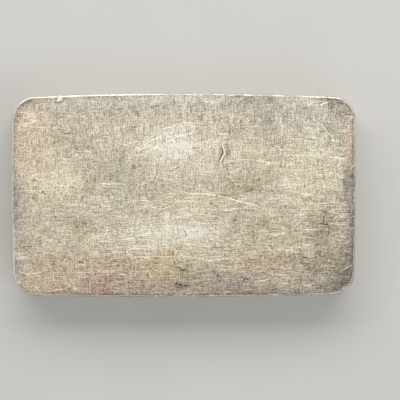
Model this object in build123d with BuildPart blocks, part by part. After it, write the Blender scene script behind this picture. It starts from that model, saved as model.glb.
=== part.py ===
from build123d import *
import os
from math import cos, radians, sin, sqrt, tan

# A hand-sized silver bar, pressed from one piece of metal. It lies on its back face with the
# worn, blank face up. +X runs along the bar, +Y across it, and +Z out of the blank face.
# The origin is the middle of the back face. All sizes are in millimetres.

# Overall sizes, over the crests of the bowed sides
length = 73.0
width = 43.4
thickness = 9.6

# The press left each side bowed: its two ends fall back from the crest by these amounts
far_fall_left = 0.92
far_fall_right = 0.92
near_fall_left = 0.45
near_fall_right = 0.69
left_fall_far = 0.19
left_fall_near = 0.46
right_fall_far = 0.11
right_fall_near = 0.37

# Each corner has its own radius in plan
far_left_radius = 5.1
far_right_radius = 5.0
near_left_radius = 5.3
near_right_radius = 4.7

# The wall is barrelled: its faces stand in by this much at the front and back edges
wall_belly = 0.12
front_edge_radius = 0.5
back_edge_radius = 0.5

# The near right corner was knocked flat: depth of the blow, its direction in plan, its lean
knock_depth = 0.23
knock_angle = -48.8
knock_lean = 1.0

# A stretch of the right front edge is hammered down to a facet, from this far short of the
# far right corner point towards the near side
facet_from_corner = 4.4
facet_length = 10.5
facet_on_face = 0.62
facet_on_wall = 0.55

# A tick runs across the same edge, at the facet's far end
tick_length = 1.5
tick_width = 0.36
tick_depth = 0.2

# A slanted nick in the far front edge, this far along from the far left corner point:
# deep at the edge, running out on the face
nick_from_corner = 10.1
nick_mouth = 0.95
nick_reach = 1.0
nick_slant = 38
nick_depth = 0.3

# Cuts run this far past the metal
clear = 1.0

# Sizes that follow from the ones above
half_length = length / 2
half_width = width / 2
band = min(far_left_radius, far_right_radius, near_left_radius, near_right_radius) / 2
overlap = band / 4


# Share of a side's run at which its crest lies, so that both its ends fall back as given
def crest_share(fall_start, fall_end):
    return sqrt(fall_start) / (sqrt(fall_start) + sqrt(fall_end))


# The four corner points before rounding
far_left = Vector(-half_length + left_fall_far, half_width - far_fall_left)
far_right = Vector(half_length - right_fall_far, half_width - far_fall_right)
near_left = Vector(-half_length + left_fall_near, -half_width + near_fall_left)
near_right = Vector(half_length - right_fall_near, -half_width + near_fall_right)

# Places of the marks, taken from those points
facet_far_y = far_right.Y - facet_from_corner
nick_x = far_left.X + nick_from_corner

# The crest of each side
far_crest_x = far_left.X + (far_right.X - far_left.X) * crest_share(far_fall_left, far_fall_right)
near_crest_x = near_left.X + (near_right.X - near_left.X) * crest_share(near_fall_left, near_fall_right)
left_crest_y = far_left.Y + (near_left.Y - far_left.Y) * crest_share(left_fall_far, left_fall_near)
right_crest_y = far_right.Y + (near_right.Y - far_right.Y) * crest_share(right_fall_far, right_fall_near)

# Plan outline at the bar's widest level: four bowed sides, then four unequal corners
with BuildSketch() as outline:
    with BuildLine():
        ThreePointArc(near_left, (near_crest_x, -half_width), near_right)
        ThreePointArc(near_right, (half_length, right_crest_y), far_right)
        ThreePointArc(far_right, (far_crest_x, half_width), far_left)
        ThreePointArc(far_left, (-half_length, left_crest_y), near_left)
    make_face()
    for corner, radius in (
        (far_left, far_left_radius),
        (far_right, far_right_radius),
        (near_left, near_left_radius),
        (near_right, near_right_radius),
    ):
        fillet(outline.vertices().sort_by_distance(corner)[0], radius)

rim_path = outline.face().outer_wire()
rim_start = rim_path @ 0
rim_along = rim_path % 0
rim_plane = Plane(rim_start, x_dir=rim_along.cross(Vector(0, 0, 1)), z_dir=-rim_along)

# Section of the rim: a barrelled wall between two rounded edges, drawn square to the outline
with BuildSketch(rim_plane) as rim_section:
    with BuildLine():
        Polyline((-wall_belly, 0), (-band, 0), (-band, thickness), (-wall_belly, thickness))
        ThreePointArc((-wall_belly, thickness), (0, thickness / 2), (-wall_belly, 0))
    make_face()
    fillet(rim_section.vertices().sort_by_distance((-wall_belly, 0))[0], back_edge_radius)
    fillet(rim_section.vertices().sort_by_distance((-wall_belly, thickness))[0], front_edge_radius)

with BuildPart() as ingot:
    # The rim runs right round the outline
    sweep(sections=rim_section.sketch, path=rim_path)

    # The plate inside it
    with BuildSketch():
        add(outline.sketch)
        offset(amount=overlap - band, mode=Mode.REPLACE)
    extrude(amount=thickness)

    # The knocked corner: a flat that leans, square to the blow
    corner_arc = outline.edges().sort_by_distance(near_right)[0]
    blow = Vector(
        cos(radians(knock_angle)) * cos(radians(knock_lean)),
        sin(radians(knock_angle)) * cos(radians(knock_lean)),
        sin(radians(knock_lean)),
    )
    knock_centre = corner_arc.arc_center + Vector(0, 0, thickness / 2)
    knock_cover = 2 * (thickness + near_right_radius)
    with BuildSketch(Plane(knock_centre + blow * (near_right_radius - knock_depth), z_dir=blow)):
        Rectangle(knock_cover, knock_cover)
    extrude(amount=near_right_radius, mode=Mode.SUBTRACT)

    # The hammered facet along the right front edge
    facet_inner_x = half_length - wall_belly - facet_on_face
    with BuildSketch(Plane.XZ.offset(-facet_far_y)):
        with BuildLine():
            Polyline(
                (facet_inner_x, thickness),
                (facet_inner_x + 2 * facet_on_face, thickness - 2 * facet_on_wall),
                (facet_inner_x + 2 * facet_on_face, thickness + clear),
                (facet_inner_x, thickness + clear),
                close=True,
            )
        make_face()
    extrude(amount=facet_length, mode=Mode.SUBTRACT)

    # The tick across the same edge
    with BuildSketch(Plane.YZ.offset(half_length - tick_length)):
        with BuildLine():
            Polyline(
                (facet_far_y - tick_width / 2, thickness),
                (facet_far_y, thickness - tick_depth),
                (facet_far_y + tick_width / 2, thickness),
                (facet_far_y, thickness + clear),
                close=True,
            )
        make_face()
    extrude(amount=tick_length + clear, mode=Mode.SUBTRACT)

    # The nick in the far front edge
    far_edge_y = half_width - far_fall_left * ((far_crest_x - nick_x) / (far_crest_x - far_left.X)) ** 2
    nick_tip = Vector(nick_x - nick_reach * tan(radians(nick_slant)), far_edge_y - nick_reach, thickness)
    with BuildSketch(Plane(nick_tip, x_dir=(1, 0, 0), z_dir=(0, nick_depth, nick_reach))):
        with BuildLine():
            past = (nick_reach + clear) / nick_reach
            mouth_x = nick_reach * tan(radians(nick_slant))
            Polyline(
                (0, 0),
                (past * (mouth_x + nick_mouth / 2), past * nick_reach),
                (past * (mouth_x - nick_mouth / 2), past * nick_reach),
                close=True,
            )
        make_face()
    extrude(amount=clear, mode=Mode.SUBTRACT)

ingot.part.label = "ingot"
os.makedirs("parts", exist_ok=True)
export_step(ingot.part, "parts/ingot.step")
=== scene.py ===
import math

import bmesh
import bpy
import numpy as np
from mathutils import Matrix, Vector, noise
from mathutils.bvhtree import BVHTree
from mathutils.geometry import delaunay_2d_cdt
from mathutils.kdtree import KDTree


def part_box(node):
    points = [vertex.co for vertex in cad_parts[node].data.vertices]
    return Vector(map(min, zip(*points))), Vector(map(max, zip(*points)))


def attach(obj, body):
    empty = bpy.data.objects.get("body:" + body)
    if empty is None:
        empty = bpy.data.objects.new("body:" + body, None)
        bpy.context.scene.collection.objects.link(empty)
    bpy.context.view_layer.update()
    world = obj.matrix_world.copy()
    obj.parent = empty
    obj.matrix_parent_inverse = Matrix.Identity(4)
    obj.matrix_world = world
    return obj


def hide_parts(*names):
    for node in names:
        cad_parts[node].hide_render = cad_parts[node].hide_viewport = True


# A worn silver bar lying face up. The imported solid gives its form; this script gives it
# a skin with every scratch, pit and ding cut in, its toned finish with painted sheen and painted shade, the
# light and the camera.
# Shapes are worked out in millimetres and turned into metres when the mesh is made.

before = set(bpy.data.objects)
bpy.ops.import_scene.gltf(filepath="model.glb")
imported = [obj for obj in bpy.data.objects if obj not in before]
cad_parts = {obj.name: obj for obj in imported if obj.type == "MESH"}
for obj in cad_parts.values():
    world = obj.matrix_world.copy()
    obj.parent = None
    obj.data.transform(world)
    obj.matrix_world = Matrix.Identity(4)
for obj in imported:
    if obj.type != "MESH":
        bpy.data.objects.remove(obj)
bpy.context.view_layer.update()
mm = 0.001
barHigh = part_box("ingot")[1] / mm
halfLength, halfWidth, faceHeight = barHigh
print("frame loaded, bar is", round(2 * halfLength, 1), "x", round(2 * halfWidth, 1),
      "x", round(faceHeight, 1), "mm")

# How the photo sees the bar: marks are placed by the pixel at which they show
photoView = {
    "size": 400,
    "pixelsPerMm": 4.733,       # on the blank face
    "barCentre": (183.5, 195.1),
    "focalPixels": 1900,
    "sensor": 36.0,
}


def photoPoint(pixel):
    centre = photoView["barCentre"]
    scale = photoView["pixelsPerMm"]
    return Vector(((pixel[0] - centre[0]) / scale, (centre[1] - pixel[1]) / scale))


# Form of the bar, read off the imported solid

rimShape = {
    "inset": 5.0,               # stations stand on a rectangle this far inside the box
    "step": 0.34,               # spacing of the stations round the rim
    "fineStep": 0.1,            # closer beside the nick, the tick and the facet's ends
    "fineReach": 0.9,
    "fineSpots": [(58.5, 98.0), (354.0, 117.0), (354.0, 167.0), (352.0, 282.5), (341.0, 292.0)],
    "fineGrid": 0.09,
    "edgeRadius": 0.5,
    "frontTurns": 6,
    "backTurns": 4,
    "wallRows": 11,
}


def readForm(node):
    merged = bmesh.new()
    merged.from_mesh(node.data)
    bmesh.ops.remove_doubles(merged, verts=merged.verts, dist=1e-7)
    merged.transform(Matrix.Scale(1 / mm, 4))
    surface = BVHTree.FromBMesh(merged, epsilon=0.0)
    merged.free()
    return surface


barForm = readForm(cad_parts["ingot"])


def formHit(start, heading):
    # Where a ray meets the bar; a ray that slips between two facets is nudged aside
    for nudge in (0.0, 0.003, -0.003, 0.007):
        hit = barForm.ray_cast(start + Vector((nudge, nudge, nudge)), heading)[0]
        if hit is not None:
            return hit
    raise ValueError("a ray missed the bar")


def rimStations():
    # (base point, outward heading) once round the bar, anticlockwise from the right side
    insideX = halfLength - rimShape["inset"]
    insideY = halfWidth - rimShape["inset"]
    fineSpots = [photoPoint(spot) for spot in rimShape["fineSpots"]]
    corners = [(insideX, -insideY), (insideX, insideY), (-insideX, insideY), (-insideX, -insideY)]
    stations = []
    for side in range(4):
        start = Vector(corners[side])
        end = Vector(corners[(side + 1) % 4])
        turn = side * math.pi / 2
        heading = Vector((math.cos(turn), math.sin(turn)))
        run = (end - start).length
        along = 0.0
        while along < run:
            base = start.lerp(end, along / run)
            stations.append((base, heading))
            along += stepAt(base + heading * rimShape["inset"], fineSpots)
        swing = 0.0
        while swing < math.pi / 2:
            heading = Vector((math.cos(turn + swing), math.sin(turn + swing)))
            stations.append((end, heading))
            swing += stepAt(end + heading * rimShape["inset"], fineSpots) / rimShape["inset"]
    return stations


def stepAt(rimPoint, fineSpots):
    near = any((rimPoint - spot).length < rimShape["fineReach"] for spot in fineSpots)
    return rimShape["fineStep"] if near else rimShape["step"]


def rimRows(stations):
    # Rows of points from the flat of the face, over its edge, down the wall and under the back edge
    radius = rimShape["edgeRadius"]
    up = Vector((0, 0, 1))
    columns = []
    for base, heading in stations:
        out = heading.to_3d()
        column = []
        shoulder = formHit(base.to_3d() + up * (faceHeight - radius), out)
        for turn in range(rimShape["frontTurns"] + 1):
            angle = math.pi / 2 * (1 - turn / rimShape["frontTurns"])
            column.append(formHit(shoulder - out * radius, out * math.cos(angle) + up * math.sin(angle)))
        wallSpan = faceHeight - 2 * radius
        for row in range(1, rimShape["wallRows"] + 1):
            level = faceHeight - radius - wallSpan * row / (rimShape["wallRows"] + 1)
            column.append(formHit(base.to_3d() + up * level, out))
        heel = formHit(base.to_3d() + up * radius, out)
        for turn in range(rimShape["backTurns"] + 1):
            angle = -math.pi / 2 * turn / rimShape["backTurns"]
            column.append(formHit(heel - out * radius, out * math.cos(angle) + up * math.sin(angle)))
        columns.append(column)
    return columns


stations = rimStations()
columns = rimRows(stations)
print("rim read:", len(stations), "stations")


# Wear: what the years did to the bar. Marks are placed by photo pixel, their sizes are in mm

# Scratches that stand out: pixels along the scratch, width, depth, shine; the shine is bare metal with a
# painted glint
brightScratches = [
    # the long run across the middle, bending down to the right
    ([(174.5, 190.9), (182, 191.7), (188, 193), (204, 193.8), (212, 194.6), (226, 197), (238, 200.8),
      (248, 203.2), (256, 204.9), (262, 207.6), (274, 209)], 0.3, 0.035, 0.75),
    ([(138, 192.5), (152, 192.7), (166, 192.8)], 0.2, 0.02, 0.55),
    ([(186, 192.7), (202, 192.6)], 0.19, 0.02, 0.3),
    ([(210, 192.7), (224, 192.7)], 0.2, 0.02, 0.8),
    ([(98, 183.4), (112, 183.7), (127, 183.6)], 0.27, 0.03, 1.0),
    ([(174, 201.3), (182, 200.6), (201, 200.9)], 0.21, 0.02, 0.65),
    ([(184, 198), (196, 197), (205, 198)], 0.21, 0.02, 0.32),
    ([(144, 205.6), (152, 206.4), (159, 208.4), (166, 207.6), (177, 203.8)], 0.21, 0.02, 0.6),
    ([(176, 217.2), (191, 217.8)], 0.22, 0.02, 0.7),
    ([(197, 216.8), (205, 217)], 0.2, 0.02, 0.6),
    ([(230, 208.6), (240, 208.8)], 0.2, 0.02, 1.6),
    ([(268, 198.5), (280, 198.2)], 0.2, 0.02, 0.6),
    # the fan of arcs in the upper middle
    ([(128, 151), (136, 148.6), (146, 143.6), (152, 140.5), (159, 137), (166, 135.2)], 0.24, 0.025, 0.65),
    ([(142.5, 153.6), (148, 151.5), (151, 150)], 0.22, 0.02, 0.6),
    ([(137.8, 150.8), (144, 147.7), (151.4, 144)], 0.27, 0.025, 1.4),
    ([(151.6, 149), (156, 147), (160, 145.2)], 0.24, 0.02, 1.1),
    ([(154.6, 142.9), (159.4, 140.3)], 0.2, 0.02, 0.3),
    ([(157, 130), (164, 128.6), (170, 126.9), (176, 126)], 0.23, 0.02, 0.9),
    ([(178, 126.2), (188, 125.3), (197, 126.8)], 0.21, 0.02, 0.6),
    ([(180, 124.6), (184, 122.7), (193, 122.8), (205, 123.4)], 0.21, 0.02, 0.8),
    ([(172, 137), (184, 135), (190, 133.3), (200, 131.5)], 0.22, 0.02, 0.6),
    ([(164, 143), (169, 140.6), (175, 139.8)], 0.23, 0.02, 0.5),
    ([(211, 143.8), (215.4, 141.4), (218.9, 138.4), (222.4, 135.6)], 0.33, 0.025, 0.85),
    ([(204, 149), (212, 144.6), (216, 142)], 0.22, 0.02, 0.4),
    ([(168.5, 169.7), (174, 167.3), (178, 164.9)], 0.27, 0.025, 1.0),
    ([(192, 171.1), (207, 171.4), (222, 171.1)], 0.23, 0.02, 0.4),
    ([(191.8, 144), (191.9, 157)], 0.24, 0.02, 1.2),
    ([(225.6, 160.8), (236.4, 160.8)], 0.2, 0.02, 1.1),
    ([(180.6, 148), (181, 157)], 0.23, 0.02, 0.6),
    ([(160, 172.6), (176, 172.2)], 0.22, 0.02, 0.4),
    ([(136, 163.6), (143, 162.4), (148, 163)], 0.22, 0.02, 0.75),
    # upper left
    ([(64, 144.6), (72, 151), (82, 158.8)], 0.24, 0.02, 0.7),
    ([(58.6, 157), (58, 151), (60.6, 145.6)], 0.23, 0.02, 0.5),
    ([(58, 135.8), (75, 135.6)], 0.21, 0.02, 0.4),
    ([(86, 150.4), (91, 152.4)], 0.27, 0.025, 2.4),
    ([(56, 118.8), (63.4, 118.2)], 0.25, 0.02, 0.7),
    ([(38, 112.6), (45, 111.8)], 0.33, 0.02, 1.0),
    ([(28, 126.4), (35, 126.6)], 0.27, 0.02, 1.0),
    ([(94, 114.6), (97, 121), (96, 128)], 0.22, 0.02, 0.4),
    ([(62, 104), (60, 110), (62, 117)], 0.22, 0.02, 0.35),
    # upper right
    ([(319.6, 105.4), (324.2, 103.2), (330.2, 101.4)], 0.27, 0.03, 1.5),
    ([(305.6, 105.6), (312.6, 103)], 0.23, 0.02, 1.5),
    ([(330, 140.1), (341, 140.6)], 0.27, 0.03, 0.6),
    ([(288, 155.8), (300, 155.6), (312, 155.2), (322, 155.4)], 0.23, 0.02, 0.7),
    ([(326, 156.8), (334, 157.2), (347, 158.6)], 0.25, 0.03, 0.95),
    ([(243, 126.4), (262, 125.8)], 0.22, 0.02, 0.45),
    ([(245, 128), (252, 129.9), (258, 132.2)], 0.22, 0.02, 0.5),
    ([(322.6, 121), (324, 117.2), (327.4, 113.8)], 0.24, 0.02, 1.15),
    ([(337.6, 135), (340.4, 133)], 0.37, 0.02, 0.35),
    ([(300, 136.6), (318, 137)], 0.22, 0.02, 0.4),
    ([(262, 166.4), (268, 163.8), (281, 162.6)], 0.22, 0.02, 0.7),
    ([(236, 159.7), (256, 159.3)], 0.21, 0.02, 0.55),
    # right and lower right
    ([(318, 203.7), (327, 202.5), (338, 202)], 0.25, 0.03, 0.65),
    ([(302, 229.7), (312, 229.5), (321, 229.8)], 0.21, 0.03, 1.2),
    ([(325, 239.4), (330, 235.6), (338, 230.4)], 0.25, 0.03, 0.75),
    ([(336.6, 248.4), (344.6, 243.6), (351.6, 239.2)], 0.25, 0.03, 0.6),
    ([(341.6, 270.4), (347, 267.6), (352.4, 264.6)], 0.25, 0.035, 1.3),
    ([(270, 236.4), (280, 234), (287, 231.9)], 0.23, 0.03, 0.9),
    ([(255, 281.6), (264, 280.2), (272, 278.6)], 0.24, 0.03, 1.2),
    ([(284, 251), (296, 249.4)], 0.2, 0.02, 0.5),
    ([(329.6, 211.6), (338.4, 213.8)], 0.3, 0.02, 0.6),
    ([(305, 202.8), (319, 202.6)], 0.2, 0.02, 0.35),
    ([(272, 274.4), (284, 274.8), (291, 274.2)], 0.23, 0.03, 1.1),
    ([(285, 248), (296, 247), (307, 248.2)], 0.22, 0.02, 0.5),
    ([(203, 261.5), (211, 260.4), (224, 258.8), (231, 259.3)], 0.2, 0.02, 1.2),
    # lower half
    ([(126, 257.1), (146, 256.8), (160, 256.4), (177, 256.8)], 0.22, 0.02, 0.75),
    ([(127, 249.2), (138, 248.6), (151, 248.9)], 0.24, 0.02, 0.75),
    ([(111, 251.5), (118, 252.1), (125, 252.2)], 0.4, 0.02, 0.6),
    ([(187, 244.1), (197, 244.7)], 0.2, 0.02, 1.1),
    ([(126, 245.4), (136, 246), (146, 245.2)], 0.22, 0.02, 0.35),
    ([(105, 242.8), (119, 240.1), (135, 237.5)], 0.22, 0.025, 0.65),
    ([(191, 258.6), (203, 258.2), (209, 257.8)], 0.2, 0.02, 0.7),
    ([(187, 281.4), (206, 281.6)], 0.22, 0.025, 0.3),
    ([(202, 246.7), (211, 246.4)], 0.22, 0.03, 1.4),
    ([(70, 272.6), (85, 272.2), (101, 272.4)], 0.21, 0.02, 0.5),
    ([(44, 272.6), (62, 272.4)], 0.2, 0.02, 0.5),
    ([(14, 258.8), (24, 257.8)], 0.22, 0.02, 1.4),
    ([(16, 270.4), (26, 274), (37, 279.4)], 0.24, 0.03, 0.7),
    ([(22, 273.8), (32, 273.4), (42, 272.4)], 0.22, 0.025, 0.7),
    ([(72, 287.4), (80, 290.2)], 0.25, 0.03, 1.7),
    ([(119, 274.1), (123, 274.6), (127.4, 275.2)], 0.27, 0.04, 0.9),
    ([(153.4, 289.4), (157.4, 286), (161.4, 283)], 0.22, 0.025, 0.55),
    ([(50, 290.4), (64, 289.2)], 0.21, 0.02, 1.0),
    ([(88, 206.6), (98, 206.2)], 0.21, 0.02, 0.75),
]

# Dark lines, cuts that have kept their dirt: pixels along the cut, width, depth, grime
darkCuts = [
    ([(136.5, 111), (137.6, 114), (138.6, 117)], 0.24, 0.04, 1.8),
    ([(156.5, 111), (155.9, 114), (155.3, 117)], 0.3, 0.035, 1.9),
    ([(190.4, 105), (191, 109), (191.6, 114)], 0.24, 0.04, 1.7),
    ([(107.5, 102.6), (107.3, 107.4)], 0.22, 0.03, 1.1),
    ([(111, 121.6), (110.8, 127.4)], 0.22, 0.03, 1.2),
    ([(187.5, 111.6), (187.3, 119.4)], 0.23, 0.035, 0.65),
    ([(201.5, 111.6), (201.7, 119.4)], 0.23, 0.035, 1.0),
    ([(213, 111.6), (213.2, 118.4)], 0.23, 0.035, 1.0),
    ([(219.5, 117.6), (219.4, 123.4)], 0.23, 0.035, 1.0),
    ([(229.4, 127.4), (229.7, 134.6)], 0.27, 0.05, 1.5),
    ([(241, 119.8), (240.8, 124.8)], 0.27, 0.05, 1.6),
    ([(254.4, 112.6), (254.6, 120.4)], 0.23, 0.035, 0.55),
    ([(201.7, 131.4), (201.5, 143.4)], 0.22, 0.03, 1.4),
    ([(286.8, 104.6), (287.2, 118.4)], 0.22, 0.03, 1.2),
    ([(302.4, 121.4), (302.7, 129.4)], 0.23, 0.035, 0.55),
    ([(305.8, 144.4), (306.2, 155.6)], 0.23, 0.035, 0.6),
    ([(322.6, 121.4), (326, 127), (329.8, 133.4)], 0.24, 0.04, 0.9),
    ([(151.6, 107.7), (156, 106.5), (160.6, 105.9)], 0.23, 0.035, 0.5),
    ([(56.4, 134.6), (67, 134.2), (79, 134.6)], 0.21, 0.025, 0.25),
    ([(55.6, 119.2), (63.4, 117.2)], 0.22, 0.03, 1.6),
    ([(291.6, 137.7), (299, 137.1), (306.6, 137.7)], 0.23, 0.035, 1.1),
    ([(309.6, 139.6), (315.6, 139.4)], 0.23, 0.035, 1.0),
    ([(288.6, 152.2), (304, 151.6), (320.6, 152.2)], 0.21, 0.025, 0.3),
    ([(57.5, 150.6), (57.4, 155.6)], 0.24, 0.04, 1.6),
    ([(88, 145.4), (88.3, 150.6)], 0.24, 0.04, 1.1),
    ([(132.3, 164.2), (133.6, 166.8), (134.9, 169.4)], 0.25, 0.045, 1.5),
    ([(157.4, 166.6), (156, 176), (152.6, 184)], 0.25, 0.04, 0.9),
    ([(150.6, 164.6), (149.6, 173), (147.6, 182)], 0.22, 0.03, 0.35),
    ([(109.4, 177.4), (110.4, 182.6)], 0.23, 0.035, 0.45),
    ([(225.3, 166.4), (227.9, 170.6), (228.1, 176)], 0.28, 0.055, 1.3),
    ([(210.6, 180.6), (213.2, 187.4), (211, 192.6)], 0.23, 0.035, 0.8),
    ([(219, 171.4), (218.6, 185.6)], 0.22, 0.03, 0.7),
    ([(221.6, 170.6), (221.2, 184)], 0.21, 0.025, 0.7),
    ([(233, 182.4), (233.4, 191.4)], 0.23, 0.035, 0.45),
    ([(259, 176.6), (259.4, 181.6)], 0.25, 0.04, 1.3),
    ([(193.8, 185.4), (194.2, 191)], 0.25, 0.04, 0.75),
    ([(322.7, 167.6), (323.1, 174), (323.9, 180.6)], 0.25, 0.04, 0.95),
    ([(39.4, 212.6), (39.6, 220.4)], 0.22, 0.03, 0.55),
    ([(183.4, 230.6), (185.2, 232), (186, 238)], 0.25, 0.045, 1.8),
    ([(211, 247.3), (222.6, 247.6)], 0.22, 0.04, 1.3),
    ([(117.6, 272.2), (122, 272.6), (127, 273.2)], 0.26, 0.05, 0.7),
    ([(194.3, 147), (194.5, 149.6)], 0.3, 0.04, 1.6),
    ([(143.4, 251), (152.4, 251.9)], 0.22, 0.03, 1.0),
    ([(117, 254.3), (130, 253.7), (137, 255), (145, 255.7)], 0.24, 0.03, 0.5),
    ([(175, 283.4), (178, 284)], 0.35, 0.04, 0.75),
    ([(178, 285.4), (184, 286), (189, 285.4)], 0.35, 0.04, 0.7),
    ([(184, 285.2), (191, 285.4)], 0.3, 0.04, 0.8),
    ([(343.2, 271.5), (347.8, 269.5), (352.2, 266.5)], 0.23, 0.035, 0.65),
    ([(275.4, 256.6), (281, 257.2)], 0.24, 0.03, 1.0),
    ([(286, 257.6), (291, 256.8)], 0.24, 0.03, 1.5),
    ([(283, 261), (288, 263.4)], 0.24, 0.03, 0.9),
    ([(302, 257.4), (308, 258)], 0.3, 0.04, 0.85),
    ([(304.6, 261.6), (307, 265)], 0.24, 0.03, 0.5),
    ([(322.4, 212.6), (327, 212.2)], 0.28, 0.04, 1.2),
    ([(322, 224), (329, 224.8)], 0.28, 0.04, 1.3),
    ([(327, 221.6), (333, 221)], 0.26, 0.035, 1.1),
    ([(242, 277), (249, 280.6)], 0.3, 0.04, 1.1),
    ([(78, 262), (83.4, 263)], 0.3, 0.04, 1.2),
    ([(288.8, 279.4), (289.2, 283.6)], 0.24, 0.04, 2.2),
    ([(295, 263.4), (293.9, 268.6)], 0.23, 0.035, 0.6),
    ([(48.4, 258.5), (57, 258.3)], 0.21, 0.025, 1.1),
    ([(48.6, 261.5), (57, 261.3)], 0.21, 0.025, 1.0),
    ([(49, 264.4), (56.4, 264.2)], 0.21, 0.025, 1.0),
    ([(163.6, 270), (165.4, 275), (164.2, 280)], 0.20, 0.02, 0.3),
    ([(167, 270), (168.8, 275), (167.6, 280)], 0.20, 0.02, 0.5),
    ([(253, 232), (252.8, 246)], 0.21, 0.025, 0.45),
    ([(32.6, 179), (36, 181)], 0.23, 0.035, 2.8),
]

# Pits: photo pixel, radius, depth
pits = [
    ((20.5, 136), 0.22, 0.07), ((41, 120), 0.24, 0.08), ((47.5, 109.5), 0.3, 0.035),
    ((34, 124), 0.18, 0.05), ((52, 127), 0.18, 0.05), ((52, 131), 0.18, 0.05),
    ((55, 136), 0.18, 0.05), ((78, 112.5), 0.2, 0.06), ((94, 113), 0.2, 0.06),
    ((104.5, 114), 0.2, 0.06), ((134.6, 127.4), 0.22, 0.07), ((145.5, 135.5), 0.2, 0.06),
    ((137, 143), 0.18, 0.05), ((161, 156.5), 0.22, 0.06), ((175.5, 139.5), 0.2, 0.06),
    ((201.5, 111), 0.18, 0.05), ((269.5, 119.5), 0.2, 0.06), ((271, 134), 0.2, 0.06),
    ((281, 107), 0.2, 0.06), ((296.5, 110), 0.2, 0.06), ((305.5, 107), 0.18, 0.05),
    ((311, 119), 0.2, 0.06), ((321.5, 119), 0.2, 0.06), ((192, 149), 0.28, 0.09),
    ((38.5, 184.5), 0.2, 0.06), ((65.5, 184.5), 0.2, 0.06), ((87.5, 180.8), 0.24, 0.07),
    ((42.4, 192), 0.28, 0.07), ((45, 194), 0.24, 0.06), ((82.5, 197.5), 0.2, 0.06),
    ((24.6, 196.5), 0.16, 0.04), ((53.5, 212), 0.24, 0.07), ((55.4, 217), 0.22, 0.06),
    ((77.5, 212), 0.18, 0.05), ((77, 227), 0.3, 0.045), ((33.5, 225.6), 0.22, 0.06),
    ((126.6, 206.6), 0.22, 0.06), ((133.4, 206.4), 0.22, 0.06), ((112.6, 194), 0.2, 0.05),
    ((147, 212), 0.2, 0.05), ((232.4, 183), 0.24, 0.07), ((233, 190), 0.22, 0.06),
    ((252, 189.4), 0.28, 0.09), ((260, 191.4), 0.26, 0.08), ((211.6, 203.6), 0.26, 0.08),
    ((216.4, 196), 0.22, 0.06), ((235, 220), 0.24, 0.08), ((215.4, 228), 0.22, 0.07),
    ((228, 222), 0.18, 0.05), ((207, 227.4), 0.2, 0.05), ((325, 212), 0.26, 0.07),
    ((323.8, 218), 0.24, 0.07), ((331, 218), 0.26, 0.05), ((323.6, 221.4), 0.26, 0.07),
    ((332, 221.2), 0.26, 0.07), ((324, 224.2), 0.24, 0.08), ((327.4, 224.2), 0.24, 0.08),
    ((80, 262), 0.26, 0.08), ((82.6, 263.2), 0.22, 0.06), ((86, 260.8), 0.18, 0.05),
    ((65, 257.4), 0.2, 0.06), ((115.2, 261), 0.58, 0.022), ((147, 275.2), 0.26, 0.06),
    ((176, 257.4), 0.2, 0.06), ((174, 262), 0.18, 0.05), ((217.6, 275.4), 0.3, 0.1),
    ((215, 273), 0.2, 0.05), ((213.4, 254.6), 0.2, 0.06), ((193.4, 271), 0.2, 0.06),
    ((244, 279.8), 0.24, 0.07), ((247, 279.6), 0.22, 0.06), ((242, 277), 0.2, 0.05),
    ((262, 276), 0.18, 0.05), ((304, 257.4), 0.22, 0.07), ((306.6, 257.8), 0.22, 0.07),
    ((275, 275), 0.22, 0.06), ((95, 180), 0.26, 0.05), ((110, 180), 0.26, 0.05),
    ((71, 292.4), 0.2, 0.06), ((180.4, 284.6), 0.3, 0.06), ((185.4, 286), 0.3, 0.06),
    ((176.6, 283.2), 0.26, 0.06), ((187.6, 283), 0.26, 0.06), ((312, 281), 0.18, 0.05),
    ((284, 214), 0.18, 0.05), ((289, 221), 0.18, 0.05), ((295, 224), 0.18, 0.05),
    ((304.4, 187), 0.2, 0.05), ((313.8, 181.4), 0.2, 0.05), ((304, 176), 0.2, 0.05),
    ((327.6, 123.4), 0.24, 0.05), ((282, 147), 0.3, 0.05),
]

# The crescent gouge right of the middle: a raised lip with a painted highlight, hollow on both sides with
# painted shade in the hollows
gouge = {
    "lip": [(222.4, 144.6), (223.4, 148.0), (224.3, 151.0), (224.7, 153.6), (223.2, 156.4),
            (221.4, 159.0), (220.8, 161.4)],
    "lipHeight": 0.028,
    "lipWidth": 0.32,
    "lipHighlight": 1.75,
    "step": 0.2,                # spacing of the points along it
    # hollows beside it, their grime a painted shade: pixels, width, depth, grime
    "hollows": [
        ([(221.2, 146.0), (222.1, 149.4), (222.7, 152.6), (221.5, 155.6), (219.8, 158.6),
          (218.9, 161.2)], 0.3, 0.09, 1.5),
        ([(225.2, 156.0), (223.4, 158.8), (222.3, 161.4), (221.6, 163.8)], 0.22, 0.05, 0.9),
        ([(226.6, 146.4), (227.8, 149.6), (227.8, 153.0), (226.6, 156.0)], 0.44, 0.05, 0.38),
        ([(219.4, 149.0), (220.2, 152.6), (218.6, 156.4)], 0.5, 0.04, 0.4),
    ],
}

# A second, lower crescent near the bottom
lowerCrescent = {
    "path": [(174, 268.6), (176.4, 268), (178.2, 267.2), (180.4, 269.3), (183, 270.5), (186.4, 268.8)],
    "width": 0.3,
    "depth": 0.07,
    "grime": 1.9,
    "step": 0.25,
}

# Shallow dishes: photo pixel, radius, depth
dishes = [
    ((224, 151), 1.6, 0.03), ((192, 149), 0.9, 0.02), ((181, 284.6), 1.9, 0.03), ((115, 261), 1.2, 0.02),
    ((327, 220), 1.8, 0.02), ((243, 184), 2.6, 0.015), ((44, 192), 1.3, 0.02), ((80, 262), 1.0, 0.015),
    ((310, 116), 2.2, 0.015), ((95, 181), 1.1, 0.015), ((110, 180.4), 1.1, 0.015), ((282, 147), 0.8, 0.02),
]

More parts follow.
